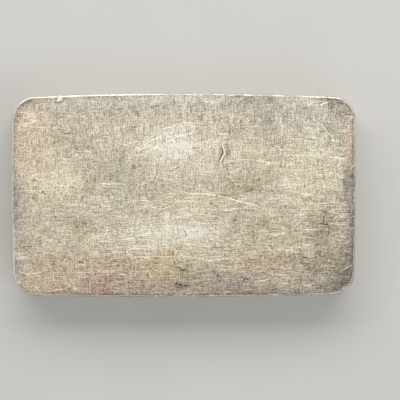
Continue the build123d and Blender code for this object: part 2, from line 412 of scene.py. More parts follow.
# Dings along the front edge: photo pixel, reach, inward push, downward push
edgeDings = [
    ((43.6, 97.4), 0.9, 0.05, 0.05), ((237.6, 94.2), 1.1, 0.05, 0.05), ((14.8, 280.4), 0.8, 0.05, 0.05),
    ((354.8, 133.4), 0.45, 0.03, 0.04), ((354.8, 147.4), 0.5, 0.02, 0.04), ((12.4, 198.4), 0.6, 0.04, 0.04),
    ((12.2, 152.0), 0.7, 0.03, 0.03), ((98.0, 296.0), 0.8, 0.04, 0.04), ((122.0, 296.2), 0.6, 0.04, 0.04),
    ((306.4, 295.8), 0.6, 0.05, 0.05), ((248.4, 296.4), 0.9, 0.04, 0.04), ((167.0, 93.8), 0.8, 0.03, 0.03),
    ((300.0, 96.0), 0.7, 0.03, 0.03), ((355.0, 206.0), 0.9, 0.03, 0.03), ((354.6, 243.0), 0.8, 0.03, 0.03),
    ((354.8, 224.0), 0.4, 0.03, 0.03),
    # the left side is worn in below its middle
    ((12.4, 238.0), 7.0, 0.13, 0.0),
]

# How bright each side's rim shows, rubbed metal with a painted highlight strongest on the far and left
# sides where the light falls, and the dirt in the line just inside it
rimSheenAndWear = {
    "far": (0.92, 0.28),
    "left": (0.95, 0.22),
    "near": (0.32, 0.32),
    "right": (0.24, 0.4),
}

# Marks on the edge itself: pixels along the mark, half width, shine, grime
edgeMarks = [
    # the nick: bright chipped metal with dirt under it and beside it
    ([(58.6, 100.2), (60.2, 98.4), (61.8, 96.8)], 0.42, 0.75, 0.0),
    ([(54.4, 102.0), (58.0, 102.2), (61.8, 101.6)], 0.14, 0.0, 0.9),
    ([(57.4, 95.4), (56.6, 98.0), (55.4, 100.0)], 0.17, 0.0, 0.8),
    # dirt in the corner of the rim
    ([(16.6, 113.0), (20.0, 108.0), (25.0, 103.6), (31.0, 100.6), (35.0, 99.6)], 0.14, 0.0, 0.5),
    ([(63.0, 98.6), (72.0, 98.2), (82.0, 97.8)], 0.12, 0.0, 0.5),
    ([(130.0, 97.0), (136.0, 97.2), (142.0, 97.0)], 0.14, 0.0, 0.5),
    ([(250.0, 97.2), (262.0, 97.8), (273.0, 98.4)], 0.12, 0.0, 0.5),
    ([(320.0, 99.4), (332.0, 100.2)], 0.14, 0.0, 0.6),
    ([(337.0, 101.6), (343.0, 104.2)], 0.14, 0.0, 0.5),
    ([(20.8, 287.0), (25.0, 291.4), (31.0, 294.0)], 0.12, 0.0, 0.5),
    # the tick, the facet and the notch below it
    ([(346.6, 116.6), (351.0, 116.6), (354.6, 117.0)], 0.1, 0.85, 0.0),
    ([(348.6, 114.8), (353.6, 114.6)], 0.12, 0.0, 0.7),
    ([(352.2, 119.0), (352.3, 140.0), (352.2, 164.0)], 0.12, 0.0, 0.4),
    ([(353.8, 132.0), (353.8, 135.0)], 0.16, 0.7, 0.0),
    ([(350.8, 168.4), (352.6, 166.6), (354.2, 165.2)], 0.2, 1.0, 0.0),
    ([(354.4, 192.0), (354.4, 195.6)], 0.16, 0.8, 0.0),
    ([(353.6, 236.0), (353.6, 239.0)], 0.14, 0.5, 0.0),
    ([(23.2, 289.4), (24.4, 290.4)], 0.16, 0.9, 0.0),
    # bare metal along the left side's foot and round both near corners, with a painted highlight of the lit
    # edge
    ([(13.2, 228.0), (13.7, 245.0), (13.9, 262.0), (14.6, 272.0)], 0.28, 0.45, 0.0),
    ([(15.4, 275.0), (18.6, 282.0), (23.6, 288.0), (31.0, 292.4)], 0.22, 0.55, 0.0),
    ([(353.2, 272.0), (351.0, 281.2), (345.2, 287.0), (339.4, 291.6), (332.0, 293.2)], 0.22, 0.5, 0.0),
]

# Fine scratches strewn by Geometry Nodes: what is usual, then each kind of wear with what differs
strewnUsual = {
    "side": "face",
    "centre": (0, 0),
    "area": (71, 41),
    "angle": 0,                 # degrees, with the spread to either side
    "spread": 8,
    "bend": 0.05,
    "width": 0.14,
    "depth": 0.02,
    "shine": 0.0,
    "grime": 0.0,
}
strewnScratches = [
    # level hairlines over the whole face
    {"count": 430, "length": (1.6, 12.0), "spread": 9, "seed": 11, "width": 0.13, "depth": 0.018,
     "shine": 0.48},
    {"count": 180, "length": (1.4, 7.0), "bend": 0.06, "seed": 17, "grime": 0.58},
    # more of them across the lower half
    {"centre": (2, -10), "area": (66, 21), "count": 240, "length": (1.6, 9.0), "angle": -1, "spread": 7,
     "bend": 0.06, "seed": 23, "shine": 0.46},
    {"centre": (4, -11), "area": (60, 18), "count": 70, "length": (1.2, 5.0), "angle": 1, "bend": 0.06,
     "seed": 29, "grime": 0.45},
    # upright hairlines, thickest in the upper right
    {"count": 180, "length": (1.2, 6.0), "angle": 90, "seed": 37, "width": 0.13, "depth": 0.018,
     "shine": 0.44},
    {"count": 110, "length": (1.2, 6.0), "angle": 90, "seed": 31, "grime": 0.52},
    {"centre": (12, 13), "area": (46, 15), "count": 110, "length": (1.0, 3.5), "angle": 91, "seed": 41,
     "width": 0.13, "shine": 0.34},
    {"centre": (10, 12), "area": (50, 17), "count": 120, "length": (1.0, 4.0), "angle": 90, "seed": 43,
     "grime": 0.5},
    # and thick again above the middle and below it
    {"centre": (0, 12), "area": (14, 15), "count": 60, "length": (1.6, 8.0), "angle": 90, "spread": 5,
     "bend": 0.03, "seed": 47, "width": 0.13, "shine": 0.5},
    {"centre": (0, 12), "area": (14, 15), "count": 46, "length": (1.6, 8.0), "angle": 90, "spread": 5,
     "bend": 0.03, "seed": 59, "grime": 0.5},
    {"centre": (0, -7.5), "area": (15, 10), "count": 26, "length": (1.6, 7.0), "angle": 90, "spread": 5,
     "bend": 0.03, "seed": 73, "width": 0.13, "shine": 0.5},
    {"centre": (0, -7.5), "area": (15, 10), "count": 20, "length": (1.6, 7.0), "angle": 90, "spread": 5,
     "bend": 0.03, "seed": 79, "grime": 0.5},
    # the fan of fine arcs, and the small one above the gouge
    {"centre": (-7.5, 10.0), "area": (9, 5), "count": 26, "length": (1.4, 5.0), "angle": 25, "bend": 0.06,
     "seed": 83, "shine": 0.6},
    {"centre": (-7.5, 10.0), "area": (9, 5), "count": 18, "length": (1.2, 4.0), "angle": 25, "bend": 0.06,
     "seed": 89, "grime": 0.6},
    {"centre": (6.4, 11.2), "area": (5, 2.6), "count": 8, "length": (1.2, 3.0), "angle": 33, "spread": 6,
     "bend": 0.06, "seed": 97, "shine": 0.6},
    # stray ones at any angle
    {"count": 110, "length": (0.8, 4.0), "angle": 35, "spread": 70, "bend": 0.14, "seed": 53, "width": 0.12,
     "depth": 0.018, "shine": 0.34},
    # the back
    {"side": "back", "area": (70, 40), "count": 90, "length": (3.0, 14.0), "angle": 4, "spread": 10,
     "seed": 67, "width": 0.18, "depth": 0.03, "shine": 0.9},
    {"side": "back", "area": (70, 40), "count": 60, "length": (1.4, 7.0), "angle": 2, "spread": 14,
     "bend": 0.06, "seed": 101, "width": 0.2, "depth": 0.035, "grime": 0.9},
    {"side": "back", "area": (70, 40), "count": 60, "length": (2.0, 9.0), "angle": 80, "spread": 60,
     "bend": 0.1, "seed": 71, "width": 0.18, "depth": 0.03, "shine": 0.8},
]
strewnFaintest = 0.45           # the faintest of a kind has this share of its depth and marks
strewnSteps = 6                 # straight steps in one strewn scratch
strewnShort = 2.6               # the higher, the more of them are short
strewnInputs = {
    "Count": "Int",
    "Corner Low": "Vector",
    "Corner High": "Vector",
    "Shortest": "Float",
    "Longest": "Float",
    "Angle": "Float",
    "Spread": "Float",
    "Bend": "Float",
    "Seed": "Int",
    "Material": "Material",
}


def placed(name, data):
    # A new object in the scene
    piece = bpy.data.objects.new(name, data)
    bpy.context.scene.collection.objects.link(piece)
    return piece


class Wiring:
    # Small hand for wiring the nodes of a tree: an input is given a value or another node's output
    def __init__(self, tree):
        self.tree = tree
        tree.nodes.clear()

    def add(self, kind, inputs=None, **settings):
        node = self.tree.nodes.new(kind)
        for name, value in settings.items():
            setattr(node, name, value)
        for name, value in (inputs or {}).items():
            if isinstance(value, bpy.types.NodeSocket):
                self.tree.links.new(value, node.inputs[name])
            else:
                node.inputs[name].default_value = value
        return node

    def maths(self, operation, *values, clamp=False):
        node = self.add("ShaderNodeMath", dict(enumerate(values)), operation=operation, use_clamp=clamp)
        return node.outputs[0]

    def between(self, value, low, high, toLow=0.0, toHigh=1.0, smooth=False):
        node = self.add("ShaderNodeMapRange", {"Value": value, "From Min": low, "From Max": high,
                                               "To Min": toLow, "To Max": toHigh},
                        interpolation_type="SMOOTHSTEP" if smooth else "LINEAR")
        return node.outputs["Result"]

    def vectors(self, operation, first, second):
        return self.add("ShaderNodeVectorMath", {0: first, 1: second}, operation=operation).outputs[0]

    def toned(self, colour, shift):
        # The colour made lighter or darker by an even step as the eye sees it, its hue kept
        seen = self.add("ShaderNodeGamma", {"Color": colour, "Gamma": 1 / 2.2}).outputs["Color"]
        moved = self.vectors("ADD", seen, shift)
        moved = self.vectors("MAXIMUM", moved, (silver["darkest"],) * 3)
        moved = self.vectors("MINIMUM", moved, (silver["lightest"],) * 3)
        return self.add("ShaderNodeGamma", {"Color": moved, "Gamma": 2.2}).outputs["Color"]

    def blended(self, share, first, second):
        # Between two plain values
        return self.add("ShaderNodeMix", {0: share, 2: first, 3: second}, data_type="FLOAT").outputs[0]

    def carried(self, name, output="Fac"):
        # What the skin's points carry under this name
        return self.add("ShaderNodeAttribute", attribute_name=name).outputs[output]

    def mix(self, share, first, second):
        # Between two colours
        return self.add("ShaderNodeMix", {0: share, 6: first, 7: second}, data_type="RGBA").outputs[2]

    def mapped(self, coordinates, size, location=(0, 0, 0), turn=0.0):
        # One unit of the result is one size of the surface, measured along the turned directions
        turned = (0, 0, math.radians(turn))
        node = self.add("ShaderNodeMapping", {"Vector": coordinates, "Scale": size, "Location": location,
                                              "Rotation": turned}, vector_type="TEXTURE")
        return node.outputs["Vector"]

    def cloud(self, coordinates, detail=2.0, roughness=0.5):
        return self.add("ShaderNodeTexNoise", {"Vector": coordinates, "Scale": 1.0, "Detail": detail,
                                               "Roughness": roughness}).outputs["Fac"]


def buildScratchTree():
    # Sets one bowed stroke out at random points, each with a length, turn and bow of its own
    tree = bpy.data.node_groups.new("strewnScratches", "GeometryNodeTree")
    for name, kind in strewnInputs.items():
        tree.interface.new_socket(name, in_out="INPUT", socket_type="NodeSocket" + kind)
    tree.interface.new_socket("Scratches", in_out="OUTPUT", socket_type="NodeSocketGeometry")
    make = Wiring(tree)
    given = make.add("NodeGroupInput").outputs

    def draw(lowest, seedStep):
        # one random number for each scratch, from the lowest to 1, with a seed of its own
        seed = make.maths("ADD", given["Seed"], seedStep)
        return make.add("FunctionNodeRandomValue", {2: lowest, "Seed": seed}, data_type="FLOAT").outputs[1]

    place = make.add("FunctionNodeRandomValue", {0: given["Corner Low"], 1: given["Corner High"],
                                                 "Seed": given["Seed"]}, data_type="FLOAT_VECTOR")
    points = make.add("GeometryNodePoints", {"Count": given["Count"], "Position": place.outputs[0]})
    length = make.add("ShaderNodeMapRange", {
        "Value": make.maths("POWER", draw(0.0, 100), strewnShort),
        "To Min": given["Shortest"],
        "To Max": given["Longest"],
    }).outputs["Result"]
    turn = make.maths("MULTIPLY_ADD", draw(-1.0, 200), given["Spread"], given["Angle"])
    bow = make.maths("MULTIPLY", make.maths("MULTIPLY", draw(-1.0, 300), given["Bend"]), length)
    stroke = make.add("GeometryNodeCurveQuadraticBezier", {
        "Resolution": strewnSteps,
        "Start": (-0.5, 0, 0),
        "Middle": (0, 2, 0),
        "End": (0.5, 0, 0),
    })
    strokeWire = make.add("GeometryNodeCurveToMesh", {"Curve": stroke.outputs["Curve"]})
    strewn = make.add("GeometryNodeInstanceOnPoints", {
        "Points": points.outputs[0],
        "Instance": strokeWire.outputs["Mesh"],
        "Rotation": make.add("ShaderNodeCombineXYZ", {"Z": turn}).outputs["Vector"],
        "Scale": make.add("ShaderNodeCombineXYZ", {"X": length, "Y": bow, "Z": 1.0}).outputs["Vector"],
    })
    solid = make.add("GeometryNodeRealizeInstances", {"Geometry": strewn.outputs["Instances"]})
    finished = make.add("GeometryNodeSetMaterial", {"Geometry": solid.outputs["Geometry"],
                                                    "Material": given["Material"]})
    make.add("NodeGroupOutput", {"Scratches": finished.outputs["Geometry"]})
    return tree


def strewScratches(tree, wear, material):
    # Runs the tree once for one kind of wear and returns its strokes as lists of points
    holder = placed("scratchHolder", bpy.data.meshes.new("scratchHolder"))
    strewn = holder.modifiers.new("strewn", "NODES")
    strewn.node_group = tree
    centre, area = wear["centre"], wear["area"]
    given = {
        "Count": wear["count"],
        "Corner Low": (centre[0] - area[0] / 2, centre[1] - area[1] / 2, 0),
        "Corner High": (centre[0] + area[0] / 2, centre[1] + area[1] / 2, 0),
        "Shortest": wear["length"][0],
        "Longest": wear["length"][1],
        "Angle": math.radians(wear["angle"]),
        "Spread": math.radians(wear["spread"]),
        "Bend": wear["bend"],
        "Seed": wear["seed"],
        "Material": material,
    }
    for item in tree.interface.items_tree:
        if item.in_out == "INPUT":
            strewn[item.identifier] = given[item.name]
    bpy.context.view_layer.update()
    strokes = bpy.data.meshes.new_from_object(holder.evaluated_get(bpy.context.evaluated_depsgraph_get()))
    flat = np.zeros(len(strokes.vertices) * 3, np.float32)
    strokes.vertices.foreach_get("co", flat)
    paths = flat.reshape(-1, strewnSteps + 1, 3)[:, :, :2].astype(float)
    holder.modifiers.remove(strewn)
    bpy.data.objects.remove(holder)
    bpy.data.meshes.remove(strokes)
    return paths


# Cutting the wear into the faces

skinGrid = {
    "face": {"grid": 0.52, "cutStep": 0.45},
    "back": {"grid": 1.0, "cutStep": 0.9},
    "rowShare": 0.87,           # rows of the grid stand this share of its step apart
    "gridMargin": 0.4,          # the grid keeps this share of its step from the rim
    "rimMargin": 0.08,          # cuts stop this far short of the rounded edge
    "clearance": 0.2,           # grid points keep this far from a cut
    "endPinch": 0.25,           # a cut's ends have this share of its width
    "pitSides": 8,
    "merge": 0.0004,
}

# How a mark fades towards its ends, and how dirty a pit is
markFade = {
    "endShare": 0.15,
    "endRise": 5,
    "pitGrime": 30,             # for each mm of depth
    "pitGrimeMost": 2.0,
}


def smoothPath(pixels, spacing):
    # A curve through given pixels, as points about one spacing apart
    knots = [photoPoint(pixel) for pixel in pixels]
    knots = [knots[0] * 2 - knots[1]] + knots + [knots[-1] * 2 - knots[-2]]
    path = []
    for a, b, c, d in zip(knots, knots[1:], knots[2:], knots[3:]):
        pieces = max(1, round((c - b).length / spacing))
        for piece in range(pieces):
            t = piece / pieces
            path.append(0.5 * (2 * b + (c - a) * t + (2 * a - 5 * b + 4 * c - d) * t**2
                               + (3 * b - a - 3 * c + d) * t**3))
    path.append(knots[-2])
    return path


def cut(path, width, depth, shine=0.0, grime=0.0, lift=0.0):
    return {"path": path, "width": width, "depth": depth, "shine": shine, "grime": grime, "lift": lift}


def gatherCuts(side, tree, material):
    # Every cut of one side: the strewn ones, then on the face the ones that stand out
    cuts = []
    step = skinGrid[side]["cutStep"]
    for kind in strewnScratches:
        wear = {**strewnUsual, **kind}
        if wear["side"] != side:
            continue
        for number, stroke in enumerate(strewScratches(tree, wear, material)):
            fade = strewnFaintest + (1 - strewnFaintest) * ((number * 7) % 10) / 9
            path = [Vector(point) for point in stroke]
            cuts.append(cut(path, wear["width"], wear["depth"] * fade,
                            shine=wear["shine"] * fade, grime=wear["grime"] * fade))
    if side == "back":
        return cuts
    for pixels, width, depth, shine in brightScratches:
        cuts.append(cut(smoothPath(pixels, step), width, depth, shine=shine))
    for pixels, width, depth, grime in darkCuts:
        cuts.append(cut(smoothPath(pixels, step), width, depth, grime=grime))
    for pixels, width, depth, grime in gouge["hollows"]:
        cuts.append(cut(smoothPath(pixels, gouge["step"]), width, depth, grime=grime))
    cuts.append(cut(smoothPath(gouge["lip"], gouge["step"]), gouge["lipWidth"], 0.0,
                    shine=gouge["lipHighlight"], lift=gouge["lipHeight"]))
    cuts.append(cut(smoothPath(lowerCrescent["path"], lowerCrescent["step"]), lowerCrescent["width"],
                    lowerCrescent["depth"], grime=lowerCrescent["grime"]))
    return cuts


def pointTree(points):
    near = KDTree(len(points))
    for index, point in enumerate(points):
        near.insert(point.to_3d(), index)
    near.balance()
    return near


def insideLoop(points, loop, margin):
    # True for each point that lies inside the rim loop and at least the margin away from it
    start = np.array(loop)
    run = np.roll(start, -1, axis=0) - start
    runLength = (run**2).sum(axis=1)
    points = np.array(points)
    kept = np.zeros(len(points), bool)
    for first in range(0, len(points), 4000):
        away = points[first:first + 4000, None, :] - start
        share = np.clip((away * run).sum(axis=2) / runLength, 0, 1)
        distance = np.linalg.norm(away - run * share[:, :, None], axis=2).min(axis=1)
        spans = (away[:, :, 1] >= 0) != (away[:, :, 1] >= run[:, 1])
        crossing = away[:, :, 0] < run[:, 0] * away[:, :, 1] / np.where(run[:, 1] == 0, 1e-12, run[:, 1])
        within = (spans & crossing).sum(axis=1) % 2 == 1
        kept[first:first + 4000] = within & (distance >= margin)
    return kept


def cutLines(cuts):
    # Each cut gives three lines of points: its two banks and its bottom between them
    lines = []
    for item in cuts:
        path, half = item["path"], item["width"] / 2
        for offset in (-half, 0.0, half):
            line = []
            for index, point in enumerate(path):
                along = (path[min(index + 1, len(path) - 1)] - path[max(index - 1, 0)]).normalized()
                pinch = 1.0 if 0 < index < len(path) - 1 else skinGrid["endPinch"]
                line.append(point + Vector((-along.y, along.x)) * offset * pinch)
            lines.append(line)
    return lines


def pitLines(pitList):
    # Each pit gives a ring and its middle
    sides = skinGrid["pitSides"]
    turns = [2 * math.pi * side / sides for side in range(sides + 1)]
    lines = []
    for position, radius, _ in pitList:
        centre = photoPoint(position)
        lines.append([centre + Vector((math.cos(turn), math.sin(turn))) * radius for turn in turns])
        lines.append([centre])
    return lines


def evenGrid(grid):
    # Points in staggered rows over the whole bar
    spread = []
    for row in range(int(2 * halfWidth / (grid * skinGrid["rowShare"])) + 1):
        for column in range(int(2 * halfLength / grid) + 1):
            x = -halfLength + (column + 0.5 * (row % 2)) * grid
            y = -halfWidth + row * grid * skinGrid["rowShare"]
            spread.append(Vector((x, y)))
    return spread


def finePatches():
    # Closer points beside the nick, the tick and the facet's ends
    fine = rimShape["fineGrid"]
    reach = int(rimShape["fineReach"] / fine)
    steps = range(-reach, reach + 1)
    spread = []
    for spot in rimShape["fineSpots"]:
        centre = photoPoint(spot)
        spread += [centre + Vector((i * fine, j * fine)) for i in steps for j in steps]
    return spread


def triangulate(side, loop, cuts, pitList):
    # A fine mesh of the flat, with an edge along every cut and a ring round every pit
    points = [Vector(point) for point in loop]
    edges = [(index, (index + 1) % len(loop)) for index in range(len(loop))]
    lines = cutLines(cuts) + pitLines(pitList)
    kept = iter(insideLoop([point for line in lines for point in line], loop, skinGrid["rimMargin"]))
    for line in lines:
        previous = None
        for point in line:
            if not next(kept):
                previous = None
                continue
            points.append(point)
            if previous is not None:
                edges.append((previous, len(points) - 1))
            previous = len(points) - 1

    grid, fine = skinGrid[side]["grid"], rimShape["fineGrid"]
    share = skinGrid["gridMargin"]
    fillings = [(evenGrid(grid), grid * share, skinGrid["clearance"])]
    if side == "face":
        fillings.append((finePatches(), fine * share, fine * share))
    near = pointTree(points)
    for spread, margin, clearance in fillings:
        for point, good in zip(spread, insideLoop(spread, loop, margin)):
            if good and near.find(point.to_3d())[2] > clearance:
                points.append(point)

    out = delaunay_2d_cdt(points, edges, [], 1, skinGrid["merge"], True)
    loopIndex = {}
    for index, sources in enumerate(out[3]):
        for source in sources:
            if source < len(loop):
                loopIndex[source] = index
    rim = [loopIndex[index] for index in range(len(loop))]
    return out[0], facesWithin([tuple(face) for face in out[2]], rim), rim


def facesWithin(faces, rim):
    # Drops the slivers outside the rim: spreads over the faces from the middle, never across the rim
    rimEdges = {frozenset(pair) for pair in zip(rim, rim[1:] + rim[:1])}
    sides = {}
    for number, face in enumerate(faces):
        for pair in zip(face, face[1:] + face[:1]):
            sides.setdefault(frozenset(pair), []).append(number)
    onRim = set(rim)
    first = next(number for number, face in enumerate(faces) if not onRim.intersection(face))
    reached = {first}
    waiting = [first]
    while waiting:
        face = faces[waiting.pop()]
        for pair in zip(face, face[1:] + face[:1]):
            edge = frozenset(pair)
            if edge in rimEdges:
                continue
            for number in sides[edge]:
                if number not in reached:
                    reached.add(number)
                    waiting.append(number)
    return [faces[number] for number in sorted(reached)]


def stampCuts(points, cuts, pitList, dishList):
    # How far each point sinks, and how bright or dirty it is
    sink, lift, shine, grime = (np.zeros(len(points)) for _ in range(4))
    near = pointTree(points)
    endShare, endRise = markFade["endShare"], markFade["endRise"]
    for item in cuts:
        path, half = item["path"], item["width"] / 2
        for index, (a, b) in enumerate(zip(path, path[1:])):
            run = b - a
            for _, found, _ in near.find_range(((a + b) / 2).to_3d(), run.length / 2 + half):
                share = min(1.0, max(0.0, (points[found] - a).dot(run) / run.length_squared))
                away = (points[found] - a - run * share).length
                if away >= half:
                    continue
                along = (index + share) / (len(path) - 1)
                fade = min(1.0, endRise * along + endShare, endRise * (1 - along) + endShare)
                strength = (1 - away / half) * fade
                sink[found] = max(sink[found], item["depth"] * strength)
                lift[found] = max(lift[found], item["lift"] * strength)
                shine[found] = max(shine[found], item["shine"] * strength)
                grime[found] = max(grime[found], item["grime"] * strength)
    for position, radius, depth in pitList:
        for _, found, away in near.find_range(photoPoint(position).to_3d(), radius):
            strength = 1 - away / radius
            dirt = min(markFade["pitGrimeMost"], markFade["pitGrime"] * depth * strength)
            sink[found] = max(sink[found], depth * strength)
            grime[found] = max(grime[found], dirt)
    for position, radius, depth in dishList:
        for _, found, away in near.find_range(photoPoint(position).to_3d(), radius):
            sink[found] += depth * (1 - (away / radius) ** 2) ** 2
    return sink - lift, shine, grime


# Tones laid over the whole bar: toning from years of handling, with painted sheen and painted shade

def srgb(red, green, blue):
    # A colour as it shows on a screen, turned into the straight values that shaders take
    def straight(level):
        level /= 255
        return level / 12.92 if level <= 0.04045 else ((level + 0.055) / 1.055) ** 2.4
    return (straight(red), straight(green), straight(blue), 1.0)


# Toning with painted sheen and painted shade, broad areas first: photo pixel of the middle, half sizes in
# pixels, red, green and blue as a screen shows them, strength
toneSheenAndShadeBlooms = [
    # the lighter middle and the band below it: painted sheen, lamps reflected in the face
    ((178, 150), (66, 36), (220, 210, 190), 0.8),
    ((185, 205), (54, 22), (210, 199, 177), 0.7),
    ((165, 236), (66, 18), (222, 213, 194), 0.8),
    ((192, 233), (21, 11), (234, 225, 208), 0.85),
    ((158, 235), (17, 10), (231, 223, 205), 0.7),
    ((122, 242), (19, 9), (212, 199, 186), 0.7),
    ((172, 145), (30, 16), (238, 231, 215), 0.9),
    # warm left side, with a bright patch of painted sheen
    ((30, 142), (30, 50), (213, 196, 173), 0.8),
    ((64, 180), (32, 20), (225, 212, 187), 0.9),
    ((28, 117), (14, 17), (219, 204, 181), 0.7),
    ((16, 214), (9, 46), (178, 168, 153), 0.8),
    ((33, 240), (8, 26), (188, 172, 153), 0.5),
    ((19, 101), (12, 10), (168, 156, 145), 0.8),
    # grey and green clouds
    ((78, 140), (17, 17), (186, 175, 160), 0.7),
    ((122, 172), (27, 26), (185, 178, 160), 0.7),
    ((128, 200), (17, 13), (186, 179, 160), 0.6),
    ((80, 108), (20, 10), (189, 183, 171), 0.6),
    ((235, 104), (62, 10), (187, 180, 165), 0.6),
    ((268, 116), (9, 18), (177, 170, 154), 0.8),
    ((80, 228), (16, 12), (178, 166, 143), 0.8),
    # right side, with a bright patch of painted sheen
    ((302, 166), (48, 36), (213, 204, 182), 0.8),
    ((305, 156), (21, 14), (218, 210, 186), 0.6),
    ((290, 183), (19, 11), (221, 209, 188), 0.7),
    ((248, 150), (19, 13), (214, 203, 181), 0.7),
    ((243, 184), (22, 9), (182, 170, 145), 0.9),
    # painted shade in and beside the gouge
    ((225, 151), (7, 10), (180, 168, 149), 0.8),
    ((272, 232), (42, 24), (192, 179, 157), 0.6),
    ((341, 106), (18, 18), (163, 156, 143), 0.8),
    ((351, 190), (10, 34), (162, 152, 141), 0.85),
    ((351, 235), (8, 20), (171, 162, 147), 0.6),
    ((324, 223), (17, 16), (165, 153, 130), 0.8),
    ((334, 256), (32, 22), (164, 151, 132), 0.7),
    ((310, 201), (20, 13), (214, 203, 181), 0.7),
    ((317, 133), (17, 14), (210, 203, 181), 0.6),
    ((42, 228), (14, 18), (207, 193, 172), 0.6),
    ((237, 214), (14, 9), (203, 191, 169), 0.5),
    # the darker foot: painted shade where the light falls off towards the bottom
    ((200, 298), (200, 38), (164, 151, 134), 0.85),
    ((60, 279), (48, 19), (193, 173, 152), 0.8),
    ((106, 284), (25, 11), (178, 155, 138), 0.8),
    ((160, 269), (19, 14), (191, 175, 144), 0.8),
    ((190, 273), (17, 11), (171, 157, 136), 0.8),
    ((228, 285), (36, 9), (168, 160, 146), 0.7),
    ((285, 259), (32, 9), (178, 163, 141), 0.8),
    ((290, 277), (24, 9), (182, 173, 154), 0.8),
    ((346, 286), (26, 24), (123, 116, 105), 0.9),
    ((182, 285), (12, 4), (142, 132, 118), 0.8),
    ((312, 267), (15, 10), (159, 146, 126), 0.7),
    ((312, 291), (16, 5), (150, 140, 126), 0.6),
    ((260, 266), (18, 8), (174, 160, 139), 0.5),
    ((112, 266), (28, 12), (192, 172, 152), 0.55),
    ((168, 254), (16, 8), (204, 186, 157), 0.5),
    ((129, 259), (14, 6), (182, 167, 150), 0.5),
    ((35, 282), (14, 8), (195, 178, 160), 0.6),
    # patches inside those areas
    ((188, 213), (26, 9), (222, 211, 190), 0.6),
    ((95, 246), (12, 9), (211, 200, 179), 0.75),
    ((91, 184), (9, 12), (182, 170, 150), 0.7),
    ((229, 194), (14, 7), (180, 169, 147), 0.6),
    ((235, 151), (6, 9), (216, 205, 183), 0.6),
    ((275, 160), (15, 11), (194, 183, 163), 0.6),
    ((243, 250), (14, 7), (190, 176, 156), 0.5),
    ((322, 235), (13, 9), (162, 150, 133), 0.7),
    ((306, 113), (14, 9), (188, 182, 170), 0.6),
    # the strips beside the rim
    ((95, 99), (45, 7), (206, 199, 184), 0.6),
    ((180, 98), (48, 6), (214, 208, 193), 0.7),
    ((300, 99), (18, 6), (210, 204, 187), 0.6),
    ((33, 99), (14, 5), (170, 158, 147), 0.6),
    ((331, 99), (14, 4), (146, 142, 130), 0.7),
    ((11, 190), (7, 110), (174, 162, 149), 0.55),
    ((354, 232), (8, 46), (151, 141, 131), 0.7),
    ((350, 125), (7, 18), (204, 190, 170), 0.5),
    ((15, 267), (9, 12), (168, 157, 147), 0.6),
    ((15, 116), (8, 12), (183, 168, 154), 0.6),
    ((240, 98), (24, 6), (180, 174, 161), 0.5),
    ((204, 291), (18, 6), (156, 150, 139), 0.5),
    ((285, 291), (22, 5), (148, 142, 132), 0.4),
    ((335, 289), (12, 7), (145, 138, 127), 0.6),
    ((314, 100), (12, 8), (212, 206, 188), 0.75),
    # lighter and darker patches over all of it
    ((285, 114), (16, 8), (190, 184, 171), 0.4),
    ((334, 124), (9, 9), (186, 180, 165), 0.4),
    ((84, 262), (14, 8), (189, 173, 148), 0.4),
    ((39, 258), (12, 10), (190, 173, 153), 0.5),
    ((39, 203), (12, 9), (205, 190, 165), 0.4),
    ((58, 247), (12, 6), (204, 191, 169), 0.5),
    ((64, 181), (16, 8), (229, 215, 191), 0.5),
    ((61, 109), (17, 10), (207, 198, 181), 0.65),
    ((42, 112), (9, 8), (200, 188, 173), 0.5),
    ((78, 131), (12, 6), (196, 186, 168), 0.4),
    ((261, 133), (10, 8), (190, 181, 164), 0.4),
    ((157, 191), (14, 8), (189, 178, 157), 0.65),
    ((198, 250), (14, 7), (196, 181, 155), 0.5),
    ((249, 261), (16, 7), (180, 165, 143), 0.4),
    ((211, 150), (7, 8), (219, 209, 189), 0.5),
    ((310, 172), (12, 8), (217, 208, 186), 0.5),
    ((327, 205), (10, 8), (186, 172, 150), 0.5),
    ((121, 99), (14, 7), (208, 201, 184), 0.5),
    ((201, 98), (14, 6), (216, 207, 189), 0.6),
    ((311, 279), (10, 7), (157, 147, 129), 0.5),
    ((31, 178), (12, 10), (220, 206, 182), 0.5),
    ((263, 225), (12, 8), (180, 167, 146), 0.5),
    ((264, 177), (12, 8), (188, 175, 151), 0.5),
    ((135, 174), (8, 8), (200, 191, 169), 0.5),
    ((63, 201), (10, 8), (190, 179, 158), 0.5),
    ((126, 155), (10, 7), (205, 197, 178), 0.4),
    ((160, 224), (14, 7), (224, 213, 192), 0.4),
    ((350, 262), (6, 8), (150, 140, 131), 0.4),
    ((137, 281), (12, 7), (182, 158, 138), 0.4),
]
